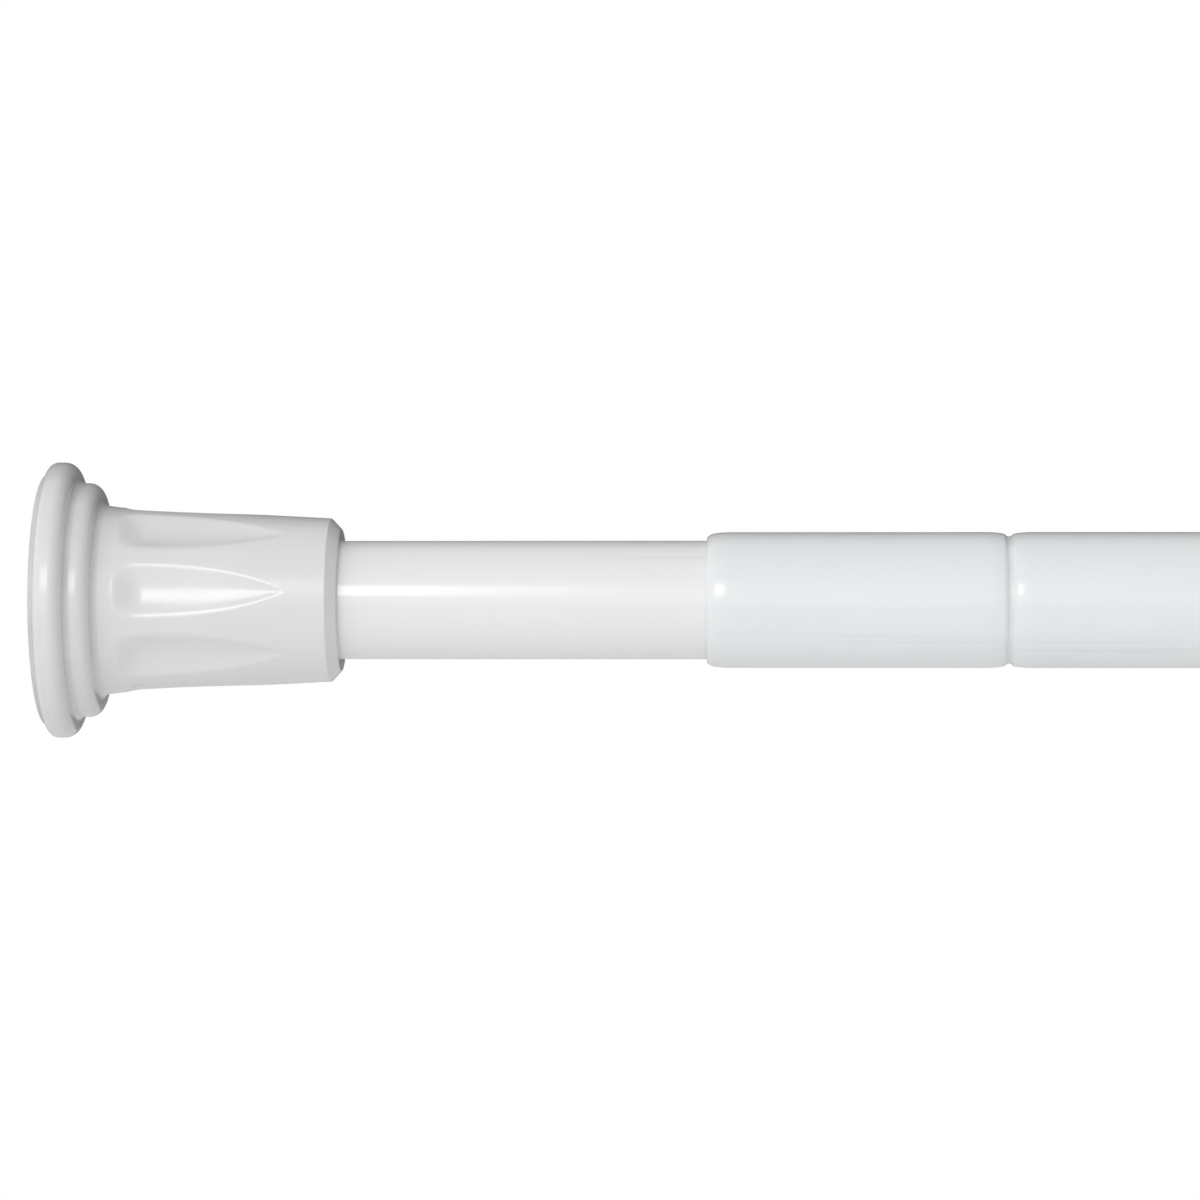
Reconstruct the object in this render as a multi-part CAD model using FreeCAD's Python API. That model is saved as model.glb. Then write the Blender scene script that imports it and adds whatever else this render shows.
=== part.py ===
import FreeCAD, Part
import math
import os

# Spring tension rod: a telescopic curtain rod that a compressed spring jams between two walls.
# Sizes are in millimetres. The origin is the middle of the left wall pad's face, +X runs along
# the rod towards the thick tube and +Z is up. The rod is at its resting length, with its lock tight.

# Tubes
outer_tube_diameter = 25.4
outer_tube_wall = 0.7
sliding_gap = 0.9  # between the outside of the inner tube and the bore of the outer tube
inner_tube_wall = 0.7
inner_tube_length = 496.0
bare_length = 68.2  # inner tube in view between the left cap and the outer tube's mouth

# Rolled mouth and rolled groove of the outer tube
mouth_roll_radius = 2.4
mouth_roll_angle = 55.0
mouth_chords = 2
groove_from_mouth = 56.4
groove_depth = 0.8
groove_shoulder_radius = 1.2
groove_floor_radius = 0.8
groove_shoulder_chords = 1
groove_floor_chords = 2

# End caps, measured from the plane of the rim
cap_length = 55.4
rim_overhang = 3.9  # of the rim over the second ring
rim_depth = 6.6
ring_overhang = 4.4  # of the second ring over the collar
ring_depth = 10.5
step_bevel = 2.4
collar_wall = 2.45  # over the thick tube, at the thin end of the collar
collar_taper = 2.4
lip_bevel_length = 2.1
lip_land = 1.9
socket_floor_depth = 6.0
socket_clearance = 0.05

# Flutes in the collar
flute_count = 8
flute_first_angle = 6.0  # above the front of the rod
flute_end_depth = 44.7
flute_cutter_radius = 17.0
flute_nose_length = 4.4
flute_nose_depth = 2.2
flute_start_gap = 1.2
flute_half_sector = 20.0  # of the cutter's circle that is used, to each side
flute_chords = 5

# Wall pads
pad_thickness = 1.0
pad_inset = 2.4  # from the edge of the pad to the edge of the rim

# Guide sleeve between the tubes
sleeve_inner_clearance = 0.12
sleeve_outer_clearance = 0.05
sleeve_end_clearance = 0.2

# Plugs in the inner tube
plug_clearance = 0.02
stop_length = 16.0
plug_insert_length = 24.0
plug_flange_length = 3.0
plug_flange_clearance = 0.25

# Spring and the spigots that centre it
spring_length = 100.0
spring_turns = 9
spring_chords = 12  # in each turn
spring_flat_chords = 8  # at each end
spring_mean_radius = 7.6
spring_wire = 2.0
spring_end_clearance = 0.02
spigot_length = 6.0
spigot_across_flats = 10.6
spring_travel = 27.0
travel_margin = 1.4

# Plunger rod
head_length = 4.0
head_bore_clearance = 0.3
head_stop_gap = 0.3
rod_across_flats = 10.0
rod_hex_clearance = 0.15
screw_radius = 3.0
screw_clearance = 0.05
screw_end_length = 2.0

# Lock: collet, wedge nut and stop nut
lock_end_gap = 0.3  # between pieces that turn past each other
collet_length = 34.0
collet_clearance = 0.15
collet_bore_clearance = 0.1
collet_floor_length = 9.0
collet_hole_width = 13.0
collet_slit_count = 4
collet_slit_width = 2.4
wedge_half_angle = 12.0
wedge_entry = 10.0
wedge_tail_length = 3.0
wedge_seat_gap = 0.15
unlock_travel = 2.25
nut_across_flats = 10.0
nut_length = 5.0
push_in_travel = 28.0
end_room = 12.0

# Radii that follow from the driving dimensions
outer_radius = outer_tube_diameter / 2
outer_bore = outer_radius - outer_tube_wall
inner_radius = outer_bore - sliding_gap
inner_bore = inner_radius - inner_tube_wall
collar_tip_radius = outer_radius + socket_clearance + collar_wall
collar_root_radius = collar_tip_radius + collar_taper
ring_radius = collar_root_radius + ring_overhang
rim_radius = ring_radius + rim_overhang
groove_radii = groove_shoulder_radius + groove_floor_radius
groove_half_angle = math.acos(1 - groove_depth / groove_radii)
groove_half_width = groove_radii * math.sin(groove_half_angle)

# Places along the rod, from left to right
left_rim_x = pad_thickness
left_collar_x = left_rim_x + cap_length
inner_start_x = left_rim_x + socket_floor_depth
inner_end_x = inner_start_x + inner_tube_length
mouth_x = left_collar_x + bare_length
outer_groove_x = mouth_x + groove_from_mouth
plug_start_x = inner_end_x - plug_insert_length
plug_end_x = inner_end_x + plug_flange_length
head_face_x = plug_start_x - head_stop_gap
spring_end_x = head_face_x - head_length - spring_end_clearance
spring_start_x = spring_end_x - spring_length
stop_face_x = spring_start_x - spring_end_clearance
rod_shoulder_x = plug_end_x + spring_travel + travel_margin
collet_x = rod_shoulder_x + lock_end_gap
collet_end_x = collet_x + collet_length
wedge_x = collet_end_x - wedge_entry
wedge_end_x = collet_end_x + wedge_tail_length
nut_x = wedge_end_x + unlock_travel + lock_end_gap
rod_end_x = nut_x + nut_length + screw_end_length
outer_end_x = rod_end_x + push_in_travel + end_room
right_wall_x = outer_end_x + socket_floor_depth + pad_thickness

X_AXIS = FreeCAD.Vector(1, 0, 0)
ORIGIN = FreeCAD.Vector(0, 0, 0)
JOIN_TOLERANCE = 1e-6


class HalfSection:
    """A closed outline above the rod's axis, drawn from point to point and revolved about X."""

    def __init__(self, x, radius):
        self.points = [FreeCAD.Vector(x, 0, radius)]

    def line(self, x, radius):
        point = FreeCAD.Vector(x, 0, radius)
        if not point.isEqual(self.points[-1], JOIN_TOLERANCE):
            self.points.append(point)

    def arc(self, centre_x, centre_radius, radius, angle_from, angle_to, chords):
        """Round stretch about a centre in equal chords, with angles from +X towards the outside."""
        for chord in range(chords + 1):
            turn = math.radians(angle_from + (angle_to - angle_from) * chord / chords)
            self.line(centre_x + radius * math.cos(turn), centre_radius + radius * math.sin(turn))

    def groove(self, x, surface_radius, inset, way):
        """Rolled groove on the face inset below a tube's outside, drawn towards +X or -X by way."""
        half = math.degrees(groove_half_angle)
        shoulder = groove_shoulder_radius - inset
        floor = groove_floor_radius + inset
        shoulder_centre = surface_radius - groove_shoulder_radius
        floor_centre = surface_radius - groove_depth + groove_floor_radius
        before = x - way * groove_half_width
        after = x + way * groove_half_width
        self.arc(before, shoulder_centre, shoulder, 90, 90 - way * half, groove_shoulder_chords)
        self.arc(x, floor_centre, floor, 270 - way * half, 270 + way * half, groove_floor_chords)
        self.arc(after, shoulder_centre, shoulder, 90 + way * half, 90, groove_shoulder_chords)

    def solid(self):
        face = Part.Face(Part.makePolygon(self.points + self.points[:1]))
        turned = face.revolve(ORIGIN, X_AXIS, 360)
        return turned if turned.Volume > 0 else turned.reversed()


def ring(x_start, x_end, inner, outer):
    """Plain ring or disc about the rod's axis."""
    section = HalfSection(x_start, inner)
    section.line(x_start, outer)
    section.line(x_end, outer)
    section.line(x_end, inner)
    return section.solid()


def hexagon(x_start, x_end, across_flats):
    """Hexagonal bar along the rod's axis."""
    corner = across_flats / math.sqrt(3)
    turns = [math.radians(60 * side) for side in range(7)]
    points = [FreeCAD.Vector(x_start, corner * math.cos(t), corner * math.sin(t)) for t in turns]
    return Part.Face(Part.makePolygon(points)).extrude(X_AXIS * (x_end - x_start))


def around(shape, count, first_angle=0.0):
    """Copies of a shape evenly spaced about the rod's axis."""
    copies = []
    for index in range(count):
        copy = shape.copy()
        copy.rotate(ORIGIN, X_AXIS, first_angle + 360 * index / count)
        copies.append(copy)
    return copies


def upright_bar(x_start, x_end, inner, outer, width):
    """Bar that stands out from the axis along +Z."""
    corner = FreeCAD.Vector(x_start, -width / 2, inner)
    return Part.makeBox(x_end - x_start, width, outer - inner, corner)


def flat_sided(outlines):
    """Solid whose flat faces have the given corners."""
    shell = Part.Shell([Part.Face(Part.makePolygon(outline + outline[:1])) for outline in outlines])
    shell.sewShape()
    solid = Part.Solid(shell)
    return solid if solid.Volume > 0 else solid.reversed()


def through_sections(sections):
    """Solid with flat sides between sections that have like corners."""
    outlines = [sections[0], sections[-1]]
    for near, far in zip(sections, sections[1:]):
        for corner in range(len(near)):
            outlines.append([near[corner - 1], near[corner], far[corner], far[corner - 1]])
    return flat_sided(outlines)


def collar_radius(depth):
    """Outside radius of the collar at a depth from the rim's plane."""
    run = cap_length - lip_bevel_length - ring_depth
    return collar_root_radius - collar_taper * (depth - ring_depth) / run


def flute_section(x, radius):
    """Corners of the flute cutter: a sector under its own axis, with its round side in chords."""
    height = collar_radius(flute_end_depth) + flute_cutter_radius
    corners = [FreeCAD.Vector(x, 0, height)]
    for chord in range(flute_chords + 1):
        turn = math.radians(flute_half_sector * (2 * chord / flute_chords - 1))
        corners.append(FreeCAD.Vector(x, radius * math.sin(turn), height - radius * math.cos(turn)))
    return corners


def flute_cutter():
    """Bar with a tapered nose, parallel to the axis, whose underside is the floor of one flute."""
    nose_x = ring_depth + flute_start_gap
    return through_sections(
        [
            flute_section(nose_x, flute_cutter_radius - flute_nose_depth),
            flute_section(nose_x + flute_nose_length, flute_cutter_radius),
            flute_section(cap_length, flute_cutter_radius),
        ]
    )


def end_cap(tube_radius):
    """Moulded cap behind its wall pad, with its collar towards +X."""
    bore = tube_radius + socket_clearance
    cap = HalfSection(0, 0)
    cap.line(0, rim_radius)
    cap.line(rim_depth - step_bevel, rim_radius)
    cap.line(rim_depth, rim_radius - step_bevel)
    cap.line(rim_depth, ring_radius)
    cap.line(ring_depth - step_bevel, ring_radius)
    cap.line(ring_depth, ring_radius - step_bevel)
    cap.line(ring_depth, collar_root_radius)
    cap.line(cap_length - lip_bevel_length, collar_tip_radius)
    cap.line(cap_length, bore + lip_land)
    cap.line(cap_length, bore)
    cap.line(socket_floor_depth, bore)
    cap.line(socket_floor_depth, 0)
    fluted = cap.solid().cut(around(flute_cutter(), flute_count, 90 - flute_first_angle))
    fluted.translate(FreeCAD.Vector(left_rim_x, 0, 0))
    return fluted


def wall_pad():
    """Rubber disc stuck on the back of a cap."""
    return ring(0, pad_thickness, 0, rim_radius - pad_inset)


def at_right_wall(shape):
    """The same piece turned to face the right wall."""
    turned = shape.mirror(ORIGIN, X_AXIS)
    turned.translate(FreeCAD.Vector(right_wall_x, 0, 0))
    return turned


def inner_tube():
    """Thin plain tube."""
    return ring(inner_start_x, inner_end_x, inner_bore, inner_radius)


def mouth_curl_x():
    """Where the straight outer tube starts to curl in at its mouth."""
    return mouth_x + mouth_roll_radius * math.sin(math.radians(mouth_roll_angle))


def outer_tube():
    """Thick tube with its mouth rolled in and one rolled groove behind the guide sleeve."""
    curl_x = mouth_curl_x()
    curl_centre = outer_radius - mouth_roll_radius
    lip_angle = 90 + mouth_roll_angle
    tube = HalfSection(outer_end_x, outer_bore)
    tube.groove(outer_groove_x, outer_radius, outer_tube_wall, -1)
    tube.arc(curl_x, curl_centre, mouth_roll_radius - outer_tube_wall, 90, lip_angle, mouth_chords)
    tube.arc(curl_x, curl_centre, mouth_roll_radius, lip_angle, 90, mouth_chords)
    tube.groove(outer_groove_x, outer_radius, 0, 1)
    tube.line(outer_end_x, outer_radius)
    return tube.solid()


def guide_sleeve():
    """Plain sleeve caught between the rolled mouth and the rolled groove."""
    start = mouth_curl_x() + sleeve_end_clearance
    end = outer_groove_x - groove_half_width - sleeve_end_clearance
    return ring(start, end, inner_radius + sleeve_inner_clearance, outer_bore - sleeve_outer_clearance)


def spring_stop():
    """Plug whose hexagonal spigot centres the fixed end of the spring."""
    plug = ring(stop_face_x - stop_length, stop_face_x, 0, inner_bore - plug_clearance)
    return plug.fuse(hexagon(stop_face_x, stop_face_x + spigot_length, spigot_across_flats))


def tube_plug():
    """Plug with a hexagonal hole, and a flange that runs in the bore of the outer tube."""
    flange_radius = outer_bore - plug_flange_clearance
    plug = HalfSection(plug_start_x, 0)
    plug.line(plug_start_x, inner_bore - plug_clearance)
    plug.line(inner_end_x, inner_bore - plug_clearance)
    plug.line(inner_end_x, flange_radius)
    plug.line(plug_end_x, flange_radius)
    plug.line(plug_end_x, 0)
    return plug.solid().cut(hexagon(plug_start_x, plug_end_x, rod_across_flats + 2 * rod_hex_clearance))


def spring_section(step):
    """Corners of the spring's square wire after a number of chords."""
    last = spring_turns * spring_chords
    active = last - 2 * spring_flat_chords
    risen = min(max(step - spring_flat_chords, 0), active) / active
    near = spring_start_x + risen * (spring_length - spring_wire)
    turn = 2 * math.pi * step / spring_chords
    outward = FreeCAD.Vector(0, math.cos(turn), math.sin(turn))
    inside = outward * (spring_mean_radius - spring_wire / 2)
    outside = outward * (spring_mean_radius + spring_wire / 2)
    far = near + spring_wire
    return [inside + X_AXIS * near, outside + X_AXIS * near, outside + X_AXIS * far, inside + X_AXIS * far]


def compression_spring():
    """Coil of square wire bent in straight chords, with flat end turns."""
    sections = [spring_section(step) for step in range(spring_turns * spring_chords + 1)]
    outlines = [sections[0], sections[-1]]
    for before, after in zip(sections, sections[1:]):
        for corner in range(len(before)):
            outlines.append([before[corner - 1], before[corner], after[corner]])
            outlines.append([before[corner - 1], after[corner], after[corner - 1]])
    return flat_sided(outlines)


def plunger_rod():
    """Head and spigot that take the spring's push, hexagonal shank, and the lock's screw."""
    head_x = head_face_x - head_length
    spigot = hexagon(head_x - spigot_length, head_x, spigot_across_flats)
    head = ring(head_x, head_face_x, 0, inner_bore - head_bore_clearance)
    shank = hexagon(head_face_x, rod_shoulder_x, rod_across_flats)
    screw = ring(rod_shoulder_x, rod_end_x, 0, screw_radius)
    return shank.fuse([head, spigot, screw])


def expander_collet():
    """Sleeve with a square hole for the wedge, slit so that its end can spread."""
    bore = screw_radius + collet_bore_clearance
    floor_x = collet_x + collet_floor_length
    sleeve = ring(collet_x, collet_end_x, bore, outer_bore - collet_clearance)
    corner = FreeCAD.Vector(floor_x, -collet_hole_width / 2, -collet_hole_width / 2)
    hole = Part.makeBox(collet_end_x - floor_x, collet_hole_width, collet_hole_width, corner)
    slit = upright_bar(floor_x, collet_end_x, 0, outer_bore, collet_slit_width)
    return sleeve.cut([hole] + around(slit, collet_slit_count))


def wedge_section(x):
    """Corners of the wedge, whose faces meet the mouth of the collet's hole when the lock is tight."""
    slope = math.tan(math.radians(wedge_half_angle))
    half = collet_hole_width / 2 - wedge_seat_gap + slope * (x - collet_end_x)
    return [FreeCAD.Vector(x, y, z) for y, z in ((-half, -half), (half, -half), (half, half), (-half, half))]


def wedge_nut():
    """Square wedge on the thread. The collet's square hole stops it from turning."""
    wedge = through_sections([wedge_section(wedge_x), wedge_section(wedge_end_x)])
    return wedge.cut(ring(wedge_x, wedge_end_x, 0, screw_radius + screw_clearance))


def end_stop_nut():
    """Hexagonal nut at the end of the thread."""
    hole = ring(nut_x, nut_x + nut_length, 0, screw_radius + screw_clearance)
    return hexagon(nut_x, nut_x + nut_length, nut_across_flats).cut(hole)


pieces = {
    "left_wall_pad": wall_pad(),
    "left_end_cap": end_cap(inner_radius),
    "inner_tube": inner_tube(),
    "spring_stop": spring_stop(),
    "compression_spring": compression_spring(),
    "plunger_rod": plunger_rod(),
    "tube_plug": tube_plug(),
    "expander_collet": expander_collet(),
    "wedge_nut": wedge_nut(),
    "end_stop_nut": end_stop_nut(),
    "guide_sleeve": guide_sleeve(),
    "outer_tube": outer_tube(),
    "right_end_cap": at_right_wall(end_cap(outer_radius)),
    "right_wall_pad": at_right_wall(wall_pad()),
}

os.makedirs("parts", exist_ok=True)
for name, shape in pieces.items():
    shape.exportStep(os.path.join("parts", name + ".step"))
    print(name, shape.isValid(), len(shape.Solids), round(shape.Volume, 2))
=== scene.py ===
import bpy
import numpy as np
from bpy.props import FloatProperty, FloatVectorProperty, IntProperty, PointerProperty
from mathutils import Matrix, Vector


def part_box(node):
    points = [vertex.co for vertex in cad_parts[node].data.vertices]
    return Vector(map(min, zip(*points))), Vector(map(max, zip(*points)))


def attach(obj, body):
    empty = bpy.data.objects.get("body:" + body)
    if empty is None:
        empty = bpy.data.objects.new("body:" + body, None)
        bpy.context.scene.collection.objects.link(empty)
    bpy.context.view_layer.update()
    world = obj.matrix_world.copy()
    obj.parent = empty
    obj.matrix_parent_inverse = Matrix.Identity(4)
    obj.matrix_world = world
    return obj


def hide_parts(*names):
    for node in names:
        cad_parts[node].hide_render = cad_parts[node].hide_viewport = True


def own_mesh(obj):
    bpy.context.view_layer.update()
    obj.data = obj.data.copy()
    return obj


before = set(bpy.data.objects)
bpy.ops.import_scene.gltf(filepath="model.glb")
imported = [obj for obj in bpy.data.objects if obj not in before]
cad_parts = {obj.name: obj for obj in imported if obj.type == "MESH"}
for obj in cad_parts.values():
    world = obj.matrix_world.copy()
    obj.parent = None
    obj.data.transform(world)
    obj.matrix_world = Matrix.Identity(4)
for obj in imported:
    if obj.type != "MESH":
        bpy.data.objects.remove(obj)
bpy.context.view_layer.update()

bl_info = {
    "name": "Spring tension rod",
    "version": (1, 0, 0),
    "blender": (4, 5, 0),
    "location": "View3D > Sidebar > Tension rod",
    "description": "Dresses the packed spring tension rod with fine surfaces and finishes",
    "category": "Add Mesh",
}

LEFT_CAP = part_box("left_end_cap")
RIGHT_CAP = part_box("right_end_cap")
LEFT_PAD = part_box("left_wall_pad")
RIGHT_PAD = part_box("right_wall_pad")
INNER_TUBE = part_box("inner_tube")
OUTER_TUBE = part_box("outer_tube")
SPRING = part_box("compression_spring")
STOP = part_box("spring_stop")
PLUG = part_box("tube_plug")
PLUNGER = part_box("plunger_rod")
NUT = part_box("end_stop_nut")
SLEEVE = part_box("guide_sleeve")
WHITE = (1, 1, 1, 1)
FULL_TURN = 2 * np.pi
TINY = 1e-7

# Angles of an outline are measured from +X, so outwards is a quarter of a turn.
UP = FULL_TURN / 4

# How finely the surfaces are divided: rings along the rod, columns round it, and steps in a rounding.
# The seam's own columns lie within its reach, an angle to each side of it.
FLUTE_RINGS = 110
FLUTE_COLUMNS = 48
TUBE_COLUMNS = 180
SEAM_COLUMNS = 25
SEAM_REACH = 0.12
MOUTH_STEPS = 16
LIP_STEPS = 8
EDGE_STEPS = 4
PAD_RINGS = 160
PAD_COLUMNS = 160
COIL_RINGS = 40
WIRE_COLUMNS = 16
PLUG_COLUMNS = 192
BARB_RINGS = 120
CONE_RINGS = 9
SCREW_COLUMNS = 144
SCREW_RINGS = 400
NUT_RINGS = 80
SLEEVE_COLUMNS = 160

# Parts of half a thread's lead that the crest and the flank take, and the root has the rest.
CREST_SHARE = 0.3
FLANK_SHARE = 0.4

# Plain stretch beside a rounded edge, in radii of the edge.
LAND = 3

# Radius where a flat face begins round a hexagonal bar, over the bar's flats.
FOOT = 0.6

# Wear and painted shade in hollow corners: their attribute, how much duller they are, the size and
# the least strength of their patches, and the stretch of the scuffs with the range of noise over
# which they show.
WEAR_AND_SHADE = "wear_and_shade"
WORN_GLOSS = 0.4
PATCH_SCALE = 260.0
PATCH_LEAST = 0.25
SCUFF_STRETCH = (6, 420, 420)
SCUFF_RANGE = (0.62, 0.74)

# Grains across one cloud of the tint, detail of the clouds, and height of the grain's relief.
CLOUD_GRAINS = 20
CLOUD_DETAIL = 4.0
RELIEF = 0.0005

# Width and height of a node's place in the editor.
NODE_PLACE = (220, -260)

# Finishes: range of roughness, grain, how far the tint strays, relief, and the strength of wear on edges
# and of painted shade in hollow corners where it shows.
# The paint's grain is drawn out along the rod.
PLASTIC = {"rough": (0.15, 0.22), "grain": 900, "tint": 0.02, "bump": 0.03, "edge": 0.30}
PAINT = {"rough": (0.14, 0.19), "grain": 700, "tint": 0.015, "bump": 0.03, "edge": 0.25, "scuff": 0.20}
PAINT_STRETCH = (0.4, 1, 1)
RUBBER = {"rough": (0.7, 0.85), "grain": 1500, "tint": 0.12, "bump": 0.15, "edge": 0.30}
NYLON = {"rough": (0.45, 0.6), "grain": 900, "tint": 0.06, "bump": 0.05}
BLACK_NYLON = {"rough": (0.45, 0.6), "grain": 900, "tint": 0.2, "bump": 0.05}
POLYTHENE = {"rough": (0.4, 0.5), "grain": 900, "tint": 0.04, "bump": 0.03}
SPRING_STEEL = {"rough": (0.3, 0.45), "grain": 800, "tint": 0.2, "bump": 0.05, "metallic": 1.0}
ZINC = {"rough": (0.25, 0.42), "grain": 900, "tint": 0.12, "bump": 0.04, "metallic": 1.0}
CAST_METAL = {"rough": (0.4, 0.55), "grain": 1400, "tint": 0.12, "bump": 0.12, "metallic": 1.0}
PALE_FLOOR = {"rough": (0.8, 0.9), "grain": 20, "tint": 0.01, "bump": 0.0}


def length(name, description, default):
    """A property that holds a length in metres."""
    return FloatProperty(name=name, description=description, default=default, unit="LENGTH", precision=5)


def angle(name, description, default):
    """A property that holds an angle, with its default in degrees."""
    return FloatProperty(name=name, description=description, default=np.radians(default), subtype="ANGLE")


def amount(name, description, default):
    """A property that holds a plain number."""
    return FloatProperty(name=name, description=description, default=default, precision=4)


def count(name, description, default):
    """A property that holds a whole number."""
    return IntProperty(name=name, description=description, default=default)


def colour(name, description, default):
    """A property that holds a linear colour."""
    return FloatVectorProperty(
        name=name, description=description, default=default, subtype="COLOR", size=3, min=0.0, max=1.0
    )


def point(name, description, default):
    """A property that holds a place, or a width and a height, in metres."""
    return FloatVectorProperty(
        name=name, description=description, default=default, size=len(default), unit="LENGTH", precision=4
    )


def direction(name, description, default):
    """A property that holds a direction."""
    return FloatVectorProperty(name=name, description=description, default=default, subtype="DIRECTION")


class RodCapSizes(bpy.types.PropertyGroup):
    """Sizes of the two moulded end caps, from the plane of the rim."""

    collar_end: length("Collar end", "From the back of the rim to the collar's end", 0.0549)
    rim_depth: length("Rim depth", "From the back to the face of the rim", 0.0053)
    rim_edge: length("Rim edge", "Rounding of the rim's back edge", 0.0016)
    rim_round: length("Rim round", "Rounding of the rim's step", 0.0025)
    ring_round: length("Ring round", "Rounding of the second ring's step", 0.0024)
    ring_radius: length("Ring radius", "Radius of the second ring", 0.0220)
    ring_depth: length("Ring depth", "From the back to the face of the second ring", 0.0098)
    collar_root: length("Collar root", "Radius of the collar at the ring", 0.0176)
    collar_tip: length("Collar tip", "Radius of the collar at its bevel", 0.01535)
    bevel_length: length("Bevel length", "Length of the bevel at the collar's end", 0.0019)
    lip_land: length("Lip land", "Width of the collar's flat end", 0.0022)
    lip_round: length("Lip round", "Rounding of the edges at the collar's end", 0.0003)
    root_fillet: length("Root fillet", "Rounding in the corner between rim and ring", 0.00115)
    collar_fillet: length("Collar fillet", "Rounding in the corner between ring and collar", 0.0014)
    flare: length("Flare", "How far the collar's root flares out", 0.0003)
    flare_end: length("Flare end", "Where the collar's flare ends", 0.0134)
    flare_round: length("Flare round", "Rounding at the end of the flare", 0.006)
    socket_floor: length("Socket floor", "Thickness behind the end of the tube", 0.0060)
    socket_clearance: length("Socket clearance", "Gap between tube and socket", 0.00005)
    flute_count: count("Flutes", "Flutes around the collar", 8)
    flute_angle: angle("First flute", "Height of the first flute over the front", 6.0)
    flute_start: length("Flute start", "Where the flutes begin", 0.0138)
    flute_end: length("Flute end", "Where the flutes run out", 0.0455)
    flute_half_width: length("Flute half width", "Half the width of a flute at its beginning", 0.0049)
    flute_point: amount("Flute point", "How late the flutes narrow to their point", 3.0)
    flute_nose: length("Flute nose", "Length of the flutes' sloping beginning", 0.0054)
    flute_corner: amount("Flute corner", "How square the flutes' beginning is", 6.0)
    flute_entry: amount("Flute entry", "How softly the flutes' beginning slopes down", 1.6)
    flute_depth: length("Flute depth", "Depth of the flutes at their beginning", 0.0015)
    flute_rise: amount("Flute rise", "How late the flutes get shallower", 1.9)
    flute_soft: amount("Flute softness", "Rounding of the flutes' edges, as a share of the depth", 0.30)


class RodTubeSizes(bpy.types.PropertyGroup):
    """Sizes of the two tubes."""

    wall: length("Wall", "Thickness of both tubes", 0.0007)
    mouth_roll: length("Mouth roll", "Outer radius of the rolled mouth", 0.0022)
    mouth_angle: angle("Mouth angle", "How far the mouth is rolled in", 50.0)
    groove_from_mouth: length("Groove place", "From the mouth to the rolled groove", 0.0564)
    groove_depth: length("Groove depth", "Depth of the rolled groove", 0.0008)
    groove_shoulder: length("Groove shoulder", "Rounding of the groove's edges", 0.0012)
    groove_floor: length("Groove floor", "Rounding of the groove's floor", 0.0008)
    ease: length("Ease", "Rounding where the wall starts to dip to the mouth or the groove", 0.020)
    ease_angle: angle("Ease angle", "How steep the wall is at the end of that dip", 8.5)
    edge_round: length("Edge round", "Rounding of the tubes' cut edges", 0.00015)
    seam_depth: length("Seam depth", "Depth of the closed seam along each tube", 0.00006)
    seam_width: length("Seam width", "Half width of the seam", 0.00035)
    seam_angle: angle("Seam angle", "Place of the seam about the axis", 40.0)


class RodPadSizes(bpy.types.PropertyGroup):
    """Sizes of the rubber wall pads."""

    edge_round: length("Edge round", "Rounding of the pad's edge", 0.0003)
    tread_count: count("Treads", "Ring grooves in the pad's face", 5)
    tread_first: length("First tread", "Radius of the innermost groove", 0.0060)
    tread_pitch: length("Tread pitch", "Distance between grooves", 0.0034)
    tread_width: length("Tread width", "Half width of a groove", 0.0006)
    tread_depth: length("Tread depth", "Depth of a groove", 0.0004)


class RodSpringSizes(bpy.types.PropertyGroup):
    """Sizes of the compression spring."""

    wire_radius: length("Wire radius", "Radius of the round wire", 0.0010)
    turns: count("Turns", "Turns of the coil", 9)
    flat_share: amount("Flat share", "Part of a turn that lies flat at each end", 0.6667)
    keep: amount("Keep", "Share of its length when fully pressed", 0.73)


class RodCoreSizes(bpy.types.PropertyGroup):
    """Sizes of the parts inside the tubes."""

    spigot_flats: length("Spigot flats", "Across the flats of the two spigots in the spring", 0.0106)
    spigot_length: length("Spigot length", "Length of the two spigots in the spring", 0.0060)
    shank_flats: length("Shank flats", "Across the flats of the plunger's shank", 0.0100)
    shank_length: length("Shank length", "Length of the plunger's shank", 0.0557)
    head_length: length("Head length", "Length of the plunger's round head", 0.0040)
    hole_flats: length("Hole flats", "Across the flats of the hole in the tube plug", 0.0103)
    flange_length: length("Flange length", "Length of the tube plug's flange", 0.0030)
    screw_radius: length("Screw radius", "Radius over the screw's thread", 0.0030)
    thread_lead: length("Thread lead", "Travel of the wedge in one turn", 0.0030)
    thread_depth: length("Thread depth", "Depth of the thread", 0.00045)
    thread_gap: length("Thread gap", "Between the screw and a thread on it", 0.00005)
    thread_end: length("Thread end", "Length over which the thread runs out", 0.0015)
    barb_count: count("Barbs", "Ring grooves round each plug", 3)
    barb_depth: length("Barb depth", "Depth of those ring grooves", 0.0003)
    barb_width: length("Barb width", "Half width of those ring grooves", 0.0008)
    core_depth: length("Core depth", "Depth of the hollow in the spring stop's back", 0.0110)
    core_radius: length("Core radius", "Radius of that hollow", 0.0065)
    hex_edge: length("Hexagon edge", "Length of the turned-off ends of the hexagons", 0.0008)
    edge_round: length("Edge round", "Rounding of the other edges", 0.0003)
    sleeve_wall: length("Sleeve wall", "Thickness of the sleeve between the tubes", 0.00073)


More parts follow.
